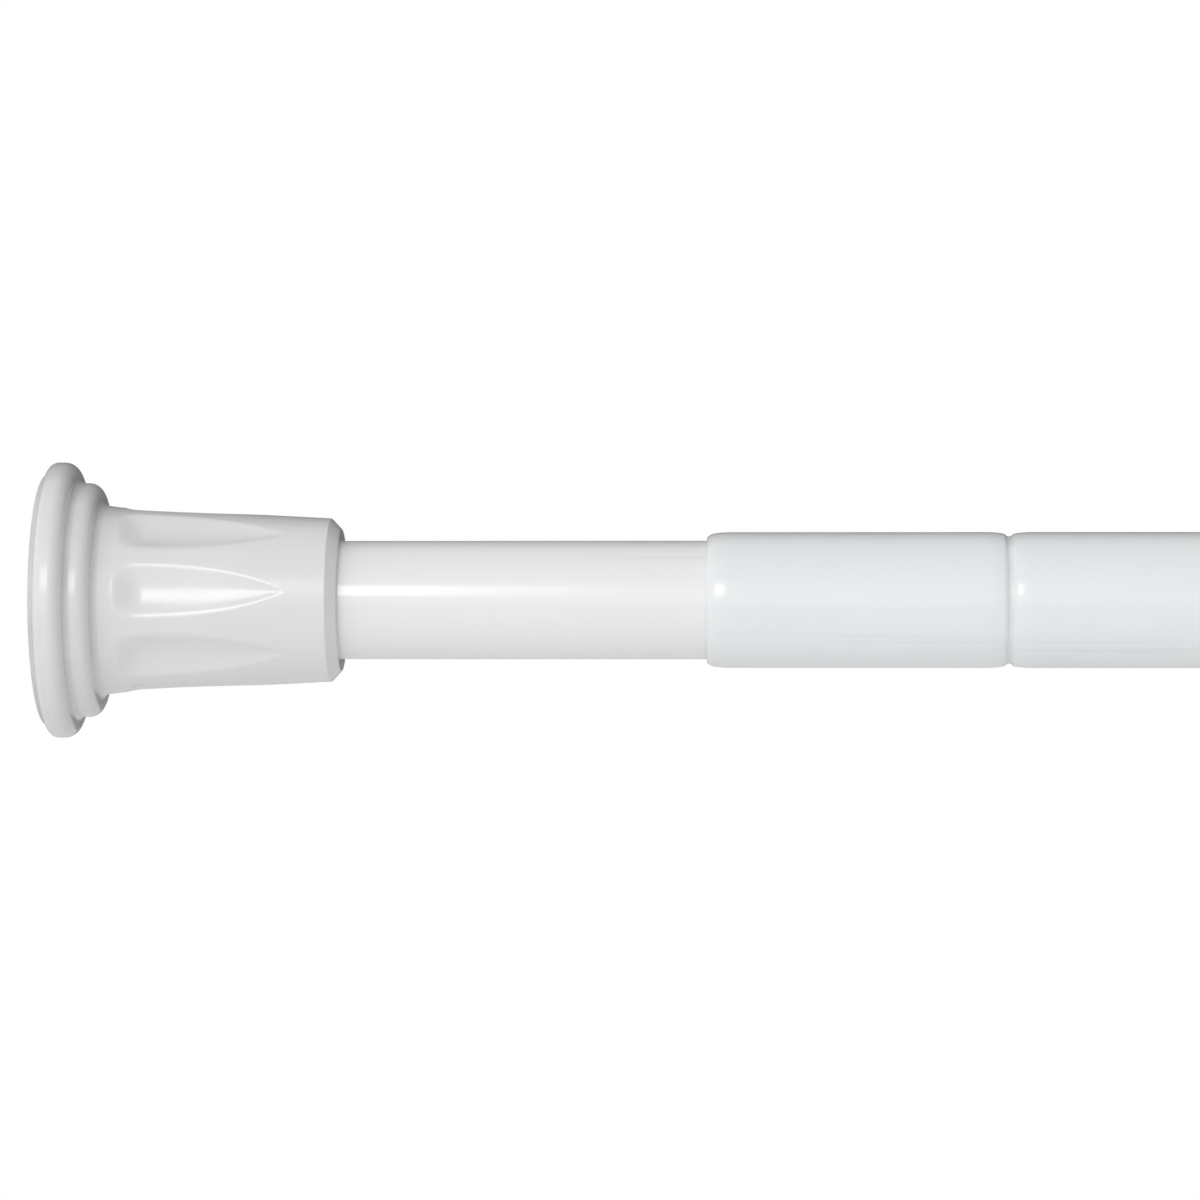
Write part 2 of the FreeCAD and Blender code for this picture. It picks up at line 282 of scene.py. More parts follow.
class RodFinishes(bpy.types.PropertyGroup):
    """Colours of the finishes."""

    cap: colour("Cap", "White moulded plastic", (0.80, 0.80, 0.80))
    thin_tube: colour("Thin tube", "White paint on the thin steel tube", (0.88, 0.885, 0.89))
    thick_tube: colour("Thick tube", "White paint on the thick steel tube", (0.855, 0.875, 0.887))
    pad: colour("Pad", "Pale rubber", (0.70, 0.70, 0.69))
    nylon: colour("Nylon", "Natural nylon", (0.56, 0.54, 0.48))
    black_nylon: colour("Black nylon", "Black nylon", (0.03, 0.03, 0.03))
    steel: colour("Steel", "Zinc plated steel", (0.56, 0.56, 0.57))
    spring: colour("Spring", "Oiled spring steel", (0.24, 0.24, 0.25))
    # Darker colour laid on the edges of the plastic and rubber as dirt, and in their hollow corners as
    # painted shade.
    plastic_dirt_and_shade: colour("Plastic dirt", "Grime on the edges of the plastic and rubber", (0.50, 0.49, 0.47))
    # Darker grey laid on rubbed edges and scuffs of the paint, and in the groove's hollow corners as
    # painted shade.
    paint_wear_and_shade: colour("Paint wear", "Rubbed places on the paint", (0.60, 0.61, 0.62))
    cast: colour("Cast metal", "Die cast metal", (0.60, 0.60, 0.61))
    sleeve: colour("Sleeve", "Natural polythene", (0.72, 0.72, 0.68))
    floor: colour("Floor", "Pale studio floor", (0.90, 0.90, 0.90))


class RodStageSettings(bpy.types.PropertyGroup):
    """Floor, lights and camera."""

    floor_drop: length("Floor drop", "From the rod's axis down to the floor", 0.40)
    floor_size: length("Floor size", "Half width of the floor", 2.3)
    floor_glow: amount("Floor glow", "Strength of the floor's own light", 0.14)
    camera_x: length("Camera place", "Where along the rod the camera stands", 0.1419)
    camera_distance: length("Camera distance", "From the rod to the camera", 0.940)
    aim_x: length("Aim", "Where along the rod the camera looks", 0.10447)
    lens: amount("Lens", "Focal length in millimetres", 150.4)
    tent_left: amount("Tent left", "Light of the tent's left side", 0.95)
    tent_right: amount("Tent right", "Light of the tent's right side", 0.25)
    tent_back: amount("Tent back", "Light of the opening behind the rod, as a share", 0.10)
    back_start: amount("Opening's edge", "Share of the way to straight back where it begins", 0.4)
    back_end: amount("Opening's middle", "Share of the way to straight back where it is darkest", 0.62)
    tent_front: amount("Tent front", "Light added around the camera, as a share", 1.4)
    front_way: direction("Front way", "Where the middle of that light lies", (-0.2, -1, -0.03))
    front_focus: amount("Front focus", "How closely that light gathers about its middle", 4.0)
    flash_power: amount("Flash", "Power of the small light in watts", 1.25)
    flash_place: point("Flash place", "Where the small light hangs", (-0.067, -0.95, 0.31))
    flash_aim: point("Flash aim", "Where the small light points", (0.05, 0, 0))
    flash_size: point("Flash size", "Width and height of the small light", (0.16, 0.34))
    fill_power: amount("Back fill", "Power of the wide light behind the rod in watts", 1.2)
    fill_beam: angle("Back beam", "Full angle of the wide light's beam", 60.0)
    fill_place: point("Back place", "Where the wide light hangs", (-0.3, 1.6, 0))
    fill_aim: point("Back aim", "Where the wide light points", (0.3, 0, 0))
    fill_size: point("Back size", "Width and height of the wide light", (0.8, 0.3))


class RodSettings(bpy.types.PropertyGroup):
    """All settings of the rod."""

    cap: PointerProperty(type=RodCapSizes)
    tube: PointerProperty(type=RodTubeSizes)
    pad: PointerProperty(type=RodPadSizes)
    spring: PointerProperty(type=RodSpringSizes)
    core: PointerProperty(type=RodCoreSizes)
    finish: PointerProperty(type=RodFinishes)
    stage: PointerProperty(type=RodStageSettings)


def settings():
    """Settings of the rod in this scene."""
    return bpy.context.scene.tension_rod


def skin(name, grid, first_pole=None, last_pole=None, loop=False, wear_and_shade=None):
    """Mesh object over a grid of points.

    Row i of the grid is one ring about the rod and column j one line along it. Each ring closes on
    itself and is joined to the next one by quads. A pole closes an end with a fan of triangles, and
    loop joins the last ring to the first. The faces are turned so that the volume is positive. A
    share for each ring, of wear on edges and of painted shade in hollow corners, goes to an attribute
    that the finish reads.
    """
    rows, columns = grid.shape[:2]
    index = np.arange(rows * columns).reshape(rows, columns)
    chain = np.concatenate([index, index[:1]]) if loop else index
    near, far = chain[:-1], chain[1:]
    quads = np.stack([near, np.roll(near, -1, 1), np.roll(far, -1, 1), far], -1).reshape(-1, 4)
    points = grid.reshape(-1, 3)
    fans = []
    for pole, ring, order in ((first_pole, index[0], -1), (last_pole, index[-1], 1)):
        if pole is not None:
            tip = np.full(columns, len(points))
            points = np.concatenate([points, [pole]])
            fans.append(np.stack([tip, ring, np.roll(ring, -1)], -1)[:, ::order])
    triangles = np.concatenate([quads[:, [0, 1, 2]], quads[:, [0, 2, 3]]] + fans)
    a, b, c = (points[triangles[:, corner]] for corner in range(3))
    way = 1 if np.einsum("ij,ij", a, np.cross(b, c)) > 0 else -1
    faces = [face for block in [quads] + fans for face in block[:, ::way].tolist()]
    mesh = bpy.data.meshes.new(name)
    mesh.from_pydata(points.tolist(), [], faces)
    mesh.polygons.foreach_set("use_smooth", np.ones(len(faces), bool))
    # Per-ring share of edge wear and of painted shade in hollow corners, stored as an attribute.
    if wear_and_shade is not None:
        worn_and_shaded = np.zeros(len(points), np.float32)
        worn_and_shaded[: rows * columns] = np.repeat(wear_and_shade, columns)
        mesh.attributes.new(WEAR_AND_SHADE, "FLOAT", "POINT").data.foreach_set("value", worn_and_shaded)
    mesh.update()
    piece = bpy.data.objects.new(name, mesh)
    bpy.context.scene.collection.objects.link(piece)
    return piece


def arc(centre_x, centre_radius, radius, start, end, steps=12):
    """Points of a round stretch of an outline, between two angles measured from +X outwards."""
    turn = np.linspace(start, end, steps + 1)
    return np.stack([centre_x + radius * np.cos(turn), centre_radius + radius * np.sin(turn)], -1)


def rounded(*corners, steps=8, hold=0.00012):
    """Outline through corners given as (x, radius, rounding).

    Each rounding is the arc that touches both sides of its corner. A point a little way along each
    side holds the flat stretches flat under smooth shading.
    """
    corners = np.asarray(corners, float)
    points = corners[:, :2]
    outline = [points[:1]]
    for before, corner, after, rounding in zip(points, points[1:], points[2:], corners[1:-1, 2]):
        back = (before - corner) / np.linalg.norm(before - corner)
        ahead = (after - corner) / np.linalg.norm(after - corner)
        middle = (back + ahead) / np.linalg.norm(back + ahead)
        half = np.arccos(np.clip(back @ ahead, -1, 1)) / 2
        run = rounding / np.tan(half)
        centre = corner + middle * rounding / np.sin(half)
        start = corner + back * run - centre
        side = corner + ahead * run - centre
        sweep = np.pi - 2 * half
        share = np.linspace(0, 1, steps + 1)[:, None]
        bend = (np.sin((1 - share) * sweep) * start + np.sin(share * sweep) * side) / np.sin(sweep)
        outline += [[corner + back * (run + hold)], centre + bend, [corner + ahead * (run + hold)]]
    outline.append(points[-1:])
    return np.concatenate(outline)


def edge_wear_and_corner_shade(outline, edge=0.0006, corner_shade_share=2.0):
    """Share of wear on convex edges and of painted shade in hollow corners, at each point of an
    outline, by how sharply it bends there.

    It is the edge radius over the radius of the bend, up to 1, and that times the corner share in
    hollow corners, where it darkens the corner as painted shade.
    """
    step = np.diff(outline, axis=0)
    size = np.linalg.norm(step, axis=1)
    heading = np.unwrap(np.arctan2(step[:, 1], step[:, 0]))
    bend = np.pad(2 * edge * (heading[:-1] - heading[1:]) / (size[:-1] + size[1:]), 1)
    # Hollow corners get painted shade: their share darkens the finish there.
    return np.where(bend > 0, np.minimum(bend, 1), np.minimum(-bend, 1) * corner_shade_share)


def divided(outline, start, end, parts):
    """The same outline with its stretch between two places along the rod cut into equal parts."""
    inside = (outline[:-1, 0] <= start) & (outline[1:, 0] >= end)
    if not inside.any():
        raise ValueError("no straight stretch reaches from one place to the other")
    at = int(np.argmax(inside))
    share = np.linspace(0, 1, parts + 1)[1:-1, None]
    extra = outline[at] * (1 - share) + outline[at + 1] * share
    return np.concatenate([outline[: at + 1], extra, outline[at + 1 :]])


def around_axis(x, radius, turn):
    """Grid of points at the given places along the rod, radii and angles, from +Y towards +Z."""
    x, radius, turn = np.broadcast_arrays(x, radius, turn)
    return np.stack([x, radius * np.cos(turn), radius * np.sin(turn)], -1)


def even_turn(columns):
    """Row of angles spaced evenly round one turn."""
    return np.arange(columns)[None, :] * FULL_TURN / columns


def bells(x, middles, half_width):
    """Flat-topped bells added up, each exp(-d^4) with d the distance from its middle in half widths."""
    return np.exp(-(((x[:, None] - middles) / half_width) ** 4)).sum(1)


def flute_cut(depth, turn, radius, cap):
    """How far the flutes lower the collar.

    The half width is w = W (1 - s^p) and the depth in the middle D (1 - s^q), with s running from 0 to 1
    along the flute. At a distance a from the middle the cut falls as a parabola 1 - (a / w)^2. At the
    beginning the width grows along a squarish quarter curve, and the depth along a parabola raised to a
    power. The edge is rounded off by a parabola too.
    """
    along = np.clip((depth - cap.flute_start) / (cap.flute_end - cap.flute_start), 0, 1)
    nose = np.clip(1 - (depth - cap.flute_start) / cap.flute_nose, 0, 1)
    width = cap.flute_half_width * (1 - along**cap.flute_point) * np.sqrt(1 - nose**cap.flute_corner)
    deep = cap.flute_depth * (1 - along**cap.flute_rise) * (1 - nose**2) ** cap.flute_entry
    pitch = FULL_TURN / cap.flute_count
    off = (turn - np.pi + cap.flute_angle + pitch / 2) % pitch - pitch / 2
    fall = 1 - (off * radius / np.maximum(width, TINY)) ** 2
    soft = cap.flute_soft
    return deep * np.where(np.abs(fall) < soft, (fall + soft) ** 2 / (4 * soft), np.maximum(fall, 0))


def cap_surface(name, cap, bore, place):
    """End cap: a turned outline with rounded steps, whose collar is lowered to the flutes' floor."""
    end = cap.collar_end
    rim = LEFT_CAP[1].z
    taper_end = end - cap.bevel_length
    tapered = (cap.flare_end - cap.ring_depth) / (taper_end - cap.ring_depth)
    flare_radius = cap.collar_root + (cap.collar_tip - cap.collar_root) * tapered
    outline = rounded(
        (0, rim / 4, 0),
        (0, rim, cap.rim_edge),
        (cap.rim_depth, rim, cap.rim_round),
        (cap.rim_depth, cap.ring_radius, cap.root_fillet),
        (cap.ring_depth, cap.ring_radius, cap.ring_round),
        (cap.ring_depth, cap.collar_root + cap.flare, cap.collar_fillet),
        (cap.flare_end, flare_radius, cap.flare_round),
        (taper_end, cap.collar_tip, cap.lip_round),
        (end, bore + cap.lip_land, cap.lip_round),
        (end, bore, cap.lip_round / 2),
        (cap.socket_floor, bore, cap.lip_round / 2),
        (cap.socket_floor, bore / 2, 0),
    )
    outline = divided(outline, cap.flute_start, cap.flute_end, FLUTE_RINGS)
    depth, radius = outline[:, :1], outline[:, 1:]
    turn = even_turn(cap.flute_count * FLUTE_COLUMNS)
    on_collar = (radius > bore + cap.lip_land) & (depth > cap.flute_start)
    radius = radius - on_collar * flute_cut(depth, turn, radius, cap)
    grid = around_axis(place(depth), radius, turn)
    return skin(name, grid, (place(0), 0, 0), (place(cap.socket_floor), 0, 0), wear_and_shade=edge_wear_and_corner_shade(outline))


def seam_turn(middle):
    """Row of angles round one turn, crowded together at the seam."""
    close = middle + np.linspace(-SEAM_REACH, SEAM_REACH, SEAM_COLUMNS)
    rest = np.linspace(close[-1], close[0] + FULL_TURN, TUBE_COLUMNS)[1:-1]
    return np.concatenate([close, rest])[None, :]


def seamed(radius, turn, tube):
    """Radius with the closed seam pressed in as a narrow bell-shaped line."""
    across = np.sin((turn - tube.seam_angle) / 2) * 2 * radius
    return radius - tube.seam_depth * np.exp(-((across / tube.seam_width) ** 2))


def tube_skin(name, outline, tube):
    """Tube: a closed outline turned about the axis, with a seam pressed in along its outside.

    The outline runs from left to right on the outside and back in the bore.
    """
    turn = seam_turn(tube.seam_angle)
    outside = np.gradient(outline[:, :1], axis=0) > 0
    radius = np.where(outside, seamed(outline[:, 1:], turn, tube), outline[:, 1:])
    return skin(name, around_axis(outline[:, :1], radius, turn), loop=True, wear_and_shade=edge_wear_and_corner_shade(outline))


def groove_outside(x, surface, tube):
    """Rolled groove on the tube's outside: five touching arcs, wide, narrow, hollow, narrow and wide.

    The steepest angle follows from the depth, which is the sum of the arcs' drops.
    """
    ease, shoulder, floor = tube.ease, tube.groove_shoulder, tube.groove_floor
    lean = tube.ease_angle
    first_drop = ease * (1 - np.cos(lean)) + shoulder * np.cos(lean)
    steep = np.arccos((first_drop + floor - tube.groove_depth) / (shoulder + floor))
    bend = (shoulder + floor) * np.sin(steep)
    reach = bend + (ease - shoulder) * np.sin(lean)
    high = surface - ease + (ease - shoulder) * np.cos(lean)
    low = surface - tube.groove_depth + floor
    return [
        arc(x - reach, surface - ease, ease, UP, UP - lean),
        arc(x - bend, high, shoulder, UP - lean, UP - steep)[1:],
        arc(x, low, floor, 3 * UP - steep, 3 * UP + steep)[1:-1],
        arc(x + bend, high, shoulder, UP + steep, UP + lean)[:-1],
        arc(x + reach, surface - ease, ease, UP + lean, UP),
    ]


def groove_inside(x, surface, tube):
    """Rolled groove on the tube's bore, from right to left: three touching arcs."""
    radii = tube.groove_shoulder + tube.groove_floor
    half = np.arccos(1 - tube.groove_depth / radii)
    width = radii * np.sin(half)
    shoulder = tube.groove_shoulder - tube.wall
    high = surface - tube.groove_shoulder
    low = surface - tube.groove_depth + tube.groove_floor
    return [
        arc(x + width, high, shoulder, UP, UP + half),
        arc(x, low, tube.groove_floor + tube.wall, 3 * UP + half, 3 * UP - half)[1:-1],
        arc(x - width, high, shoulder, UP - half, UP),
    ]


def plain_outline(box, wall, edge):
    """Closed outline of a plain tube that fills a node's box, with its cut edges rounded."""
    start, end = box[0].x, box[1].x
    outside = box[1].z
    bore = outside - wall
    middle = (start + end) / 2
    return rounded(
        (middle, bore, 0),
        (start, bore, edge),
        (start, outside, edge),
        (end, outside, edge),
        (end, bore, edge),
        (middle, bore, 0),
        steps=EDGE_STEPS,
    )[:-1]


def mouth_outside(mouth, surface, tube):
    """Rolled mouth on the tube's outside, from the lip to the straight wall: two touching arcs."""
    lean = tube.ease_angle
    curl_x = mouth + tube.mouth_roll * np.sin(tube.mouth_angle)
    curl_high = surface - tube.ease + (tube.ease - tube.mouth_roll) * np.cos(lean)
    ease_x = curl_x + (tube.ease - tube.mouth_roll) * np.sin(lean)
    return [
        arc(curl_x, curl_high, tube.mouth_roll, UP + tube.mouth_angle, UP + lean, MOUTH_STEPS),
        arc(ease_x, surface - tube.ease, tube.ease, UP + lean, UP)[1:],
    ]


def outer_outline(tube):
    """Closed outline of the thick tube: rolled mouth with a round lip, and one rolled groove."""
    mouth, end = OUTER_TUBE[0].x, OUTER_TUBE[1].x
    outside = OUTER_TUBE[1].z
    bore = outside - tube.wall
    groove_x = mouth + tube.groove_from_mouth
    edge = tube.edge_round
    far_end = rounded(
        (groove_x, outside, 0),
        (end, outside, edge),
        (end, bore, edge),
        (groove_x, bore, 0),
        steps=EDGE_STEPS,
    )
    mouth_arcs = mouth_outside(mouth, outside, tube)
    inside_roll = tube.mouth_roll - tube.wall
    inside_x = mouth + tube.wall + inside_roll * np.sin(tube.mouth_angle)
    inside = arc(inside_x, bore - inside_roll, inside_roll, UP, UP + tube.mouth_angle, MOUTH_STEPS)
    across = (mouth_arcs[0][0] - inside[-1]) / 2
    lip_turn = np.arctan2(across[1], across[0])
    middle = (mouth_arcs[0][0] + inside[-1]) / 2
    lip = arc(*middle, np.linalg.norm(across), lip_turn + np.pi, lip_turn, LIP_STEPS)[1:-1]
    return np.concatenate(
        [
            *mouth_arcs,
            *groove_outside(groove_x, outside, tube),
            far_end[1:-1],
            *groove_inside(groove_x, outside, tube),
            inside,
            lip,
        ]
    )


def pad_surface(name, pad, place):
    """Wall pad: a disc with a rounded edge and bell-shaped ring grooves pressed into its face."""
    thickness = LEFT_PAD[1].x - LEFT_PAD[0].x
    edge = LEFT_PAD[1].z
    inner = pad.tread_first / 2
    flat = np.linspace(inner, edge - 2 * pad.edge_round, PAD_RINGS)
    treads = pad.tread_first + pad.tread_pitch * np.arange(pad.tread_count)
    face = np.stack([pad.tread_depth * bells(flat, treads, pad.tread_width), flat], -1)
    rim = rounded(
        (0, flat[-1], 0),
        (0, edge, pad.edge_round),
        (thickness, edge, pad.edge_round / 3),
        (thickness, inner, 0),
    )
    outline = np.concatenate([face, rim[1:]])
    grid = around_axis(place(outline[:, :1]), outline[:, 1:], even_turn(PAD_COLUMNS))
    return skin(name, grid, (place(0), 0, 0), (place(thickness), 0, 0), wear_and_shade=edge_wear_and_corner_shade(outline))


def spring_surface(name, spring):
    """Coil: a circle carried along a helix whose end turns lie flat.

    The wire's middle is at (x(t), R cos(t), R sin(t)). The circle stands on the outward direction
    and on the direction square to it and to the wire.
    """
    wire = spring.wire_radius
    start, end = SPRING[0].x + wire, SPRING[1].x - wire
    mean = SPRING[1].z - wire
    share = np.linspace(0, 1, spring.turns * COIL_RINGS + 1)
    turns = share * spring.turns
    flat = spring.flat_share
    risen = np.clip((turns - flat) / (spring.turns - 2 * flat), 0, 1)
    turn = turns * FULL_TURN
    middle = np.stack([start + (end - start) * risen, mean * np.cos(turn), mean * np.sin(turn)], -1)
    along = np.gradient(middle, axis=0)
    along /= np.linalg.norm(along, axis=1, keepdims=True)
    outward = np.stack([np.zeros_like(turn), np.cos(turn), np.sin(turn)], -1)
    square = np.cross(along, outward)
    ring = even_turn(WIRE_COLUMNS)[..., None]
    grid = middle[:, None] + wire * (np.cos(ring) * outward[:, None] + np.sin(ring) * square[:, None])
    return skin(name, grid, middle[0], middle[-1])


def hexagon(across_flats, turn):
    """Distance from the axis to a hexagon's side, half the flats over the cosine from the side's middle."""
    sixth = FULL_TURN / 6
    return across_flats / 2 / np.cos(turn % sixth - sixth / 2)


def hex_end(x, flats, edge):
    """Turned-off end of a hexagonal bar at x: a cone from inside the flats out to the corners."""
    share = np.linspace(0, 1, CONE_RINGS)
    inside, corner = flats / 2 - abs(edge) / 4, flats / np.sqrt(3)
    return np.stack([x + edge * share, inside + (corner - inside) * share], -1)


def hex_bar(root, tip, flats, edge):
    """Outline of a hexagonal bar, from the corners at its root to its turned-off tip."""
    end = hex_end(tip, flats, np.copysign(edge, root - tip))
    return np.concatenate([[[root, flats / np.sqrt(3)]], end[::-1]])


def barbed(start, end, surface, core):
    """Straight stretch of a plug with bell-shaped ring grooves at even distances."""
    x = np.linspace(start, end, BARB_RINGS)
    barbs = np.linspace(start, end, core.barb_count + 2)[1:-1]
    return np.stack([x, surface - core.barb_depth * bells(x, barbs, core.barb_width)], -1)


def lathe(outline, turn):
    """Grid of an outline turned about the axis."""
    return around_axis(outline[:, :1], outline[:, 1:], turn)


def lathe_hex(outline, turn, flats, pick=np.minimum):
    """Grid of a turned outline cut to a hexagon, or of a hexagonal hole where the larger one is picked."""
    return around_axis(outline[:, :1], pick(outline[:, 1:], hexagon(flats, turn)), turn)


def thread(x, turn, core):
    """Radius of a right-handed thread: flat crest, straight flank and flat root in each lead.

    The crest is where x / lead - turn / (2 pi) is a whole number and a half.
    """
    phase = (x / core.thread_lead - turn / FULL_TURN) % 1
    down = np.clip((np.abs(2 * phase - 1) - CREST_SHARE) / FLANK_SHARE, 0, 1)
    return core.screw_radius - core.thread_depth * down


def stop_surface(name, core):
    """Spring stop: a barbed plug, hollow at the back, with a hexagonal spigot."""
    start, surface = STOP[0].x, STOP[1].z
    tip = STOP[1].x
    face = tip - core.spigot_length
    edge = core.edge_round
    floor = start + core.core_depth
    first, last = start + LAND * edge, face - LAND * edge
    turn = even_turn(PLUG_COLUMNS)
    back = rounded(
        (floor, core.core_radius / 2, 0),
        (floor, core.core_radius, edge),
        (start, core.core_radius, edge),
        (start, surface, edge),
        (first, surface, 0),
    )
    front = rounded((last, surface, 0), (face, surface, edge), (face, core.spigot_flats * FOOT, 0))
    spigot = hex_bar(face, tip, core.spigot_flats, core.hex_edge)
    grid = np.concatenate(
        [
            lathe(back[:-1], turn),
            lathe(barbed(first, last, surface, core), turn),
            lathe(front[1:], turn),
            lathe_hex(spigot, turn, core.spigot_flats),
        ]
    )
    return skin(name, grid, (floor, 0, 0), (tip, 0, 0))


def plug_surface(name, core):
    """Tube plug: a barbed plug with a flange and a hexagonal hole with bevelled ends."""
    start, end = PLUG[0].x, PLUG[1].x
    surface = STOP[1].z
    step = end - core.flange_length
    edge = core.edge_round
    first, last = start + LAND * edge, step - LAND * edge
    opening = core.hole_flats / np.sqrt(3) + edge
    turn = even_turn(PLUG_COLUMNS)
    back = rounded((start, opening, 0), (start, surface, edge), (first, surface, 0))
    front = rounded(
        (last, surface, 0),
        (step, surface, edge / 4),
        (step, PLUG[1].z, edge),
        (end, PLUG[1].z, edge),
        (end, opening, 0),
    )
    share = np.linspace(0, 1, CONE_RINGS)
    cone = opening - (opening - core.hole_flats / 2) * share
    hole_x = np.concatenate([end - core.hex_edge * share, (start + core.hex_edge * share)[::-1]])
    hole = np.stack([hole_x, np.concatenate([cone, cone[::-1]])], -1)
    grid = np.concatenate(
        [
            lathe(back[:-1], turn),
            lathe(barbed(first, last, surface, core), turn),
            lathe(front[1:-1], turn),
            lathe_hex(hole[:-1], turn, core.hole_flats, np.maximum),
        ]
    )
    return skin(name, grid, loop=True)


def plunger_surface(name, core):
    """Plunger rod: hexagonal spigot, round head, hexagonal shank and a screw whose thread runs out."""
    start, end = PLUNGER[0].x, PLUNGER[1].x
    back = start + core.spigot_length
    front = back + core.head_length
    shoulder = front + core.shank_length
    edge = core.edge_round
    turn = even_turn(SCREW_COLUMNS)
    spigot = hex_bar(back, start, core.spigot_flats, core.hex_edge)[::-1]
    shank = hex_bar(front, shoulder, core.shank_flats, core.hex_edge)
    head = rounded(
        (back, core.spigot_flats * FOOT, 0),
        (back, PLUNGER[1].z, edge),
        (front, PLUNGER[1].z, edge),
        (front, core.shank_flats * FOOT, 0),
    )
    x = np.linspace(shoulder, end, SCREW_RINGS)[:, None]
    root = core.screw_radius - core.thread_depth
    fade = np.clip((x - shoulder) / core.thread_end, 0, 1)
    screw = root + (thread(x, turn, core) - root) * fade
    screw = np.minimum(screw, root - core.thread_depth + end - x)
    grid = np.concatenate(
        [
            lathe_hex(spigot, turn, core.spigot_flats),
            lathe(head, turn),
            lathe_hex(shank, turn, core.shank_flats),
            around_axis(x, screw, turn),
        ]
    )
    return skin(name, grid, (start, 0, 0), (end, 0, 0))


def nut_surface(name, core):
    """Stop nut: a hexagon with turned-off ends and a threaded bore with a bevel at each end."""
    start, end = NUT[0].x, NUT[1].x
    turn = even_turn(SCREW_COLUMNS)
    flats = 2 * NUT[1].z
    bar = np.concatenate([hex_end(start, flats, core.hex_edge), hex_end(end, flats, -core.hex_edge)[::-1]])
    x = np.linspace(end, start, NUT_RINGS)[:, None]
    bevel = core.screw_radius + core.hex_edge - np.minimum(x - start, end - x)
    bore = np.maximum(thread(x, turn, core) + core.thread_gap, bevel)
    return skin(name, np.concatenate([lathe_hex(bar, turn, flats), around_axis(x, bore, turn)]), loop=True)


def sleeve_surface(name, core):
    """Guide sleeve: the outline of a plain tube turned about the axis."""
    outline = plain_outline(SLEEVE, core.sleeve_wall, core.edge_round / 2)
    return skin(name, lathe(outline, even_turn(SLEEVE_COLUMNS)), loop=True)


def feed(tree, made, inputs):
    """Gives a node's sockets their numbers and colours, or links them to the outputs of other nodes."""
    for socket, value in inputs.items():
        if isinstance(value, bpy.types.NodeSocket):
            tree.links.new(value, made.inputs[socket])
        else:
            made.inputs[socket].default_value = value


def node(tree, kind, cell, inputs=None, **values):
    """Adds a shader node in a column and row of the editor, with its settings and what its sockets get."""
    made = tree.nodes.new(kind)
    made.location = (cell[0] * NODE_PLACE[0], cell[1] * NODE_PLACE[1])
    for key, value in values.items():
        setattr(made, key, value)
    feed(tree, made, inputs or {})
    return made


def stretched(tree, cell, vector, scale):
    """Coordinates scaled along each axis."""
    made = node(tree, "ShaderNodeMapping", cell, {"Vector": vector, "Scale": scale})
    return made.outputs["Vector"]


def noise(tree, cell, vector, scale, detail=3.0):
    """Noise texture on some coordinates."""
    made = node(tree, "ShaderNodeTexNoise", cell, {"Vector": vector, "Scale": scale, "Detail": detail})
    return made.outputs["Fac"]


def spread(tree, cell, value, low, high, start=0.3, end=0.7):
    """Maps a value from the range between start and end, noise's own unless given, to another."""
    inputs = {"Value": value, "From Min": start, "From Max": end, "To Min": low, "To Max": high}
    return node(tree, "ShaderNodeMapRange", cell, inputs).outputs["Result"]


def shades(tree, cell, value, first, second):
    """Mixes two colours by a value."""
    inputs = {"Factor": value, "A": first, "B": second}
    return node(tree, "ShaderNodeMix", cell, inputs, data_type="RGBA").outputs["Result"]


def joined(tree, cell, operation, first, second):
    """Value that a math operation makes of two values."""
    return node(tree, "ShaderNodeMath", cell, {0: first, 1: second}, operation=operation).outputs[0]


def wear_and_shade_mask(tree, spot, edge, scuff):
    """Where a finish is worn and where shade is painted: patches along the edges, patches of painted shade
    in hollow corners, and thin scuffs along the rod.
    """
    # The attribute holds edge wear and painted shade in hollow corners.
    edge_and_corner_share = node(tree, "ShaderNodeAttribute", (-6, 3), attribute_name=WEAR_AND_SHADE).outputs["Fac"]
    patches = spread(tree, (-3, 3), noise(tree, (-4, 3), spot, PATCH_SCALE), PATCH_LEAST * edge, edge)
    lines = noise(tree, (-4, 4), stretched(tree, (-5, 4), spot, SCUFF_STRETCH), 1.0)
    scuffs = spread(tree, (-3, 4), lines, 0, scuff, *SCUFF_RANGE)
    return joined(tree, (-2, 3), "MAXIMUM", joined(tree, (-3, 5), "MULTIPLY", edge_and_corner_share, patches), scuffs)


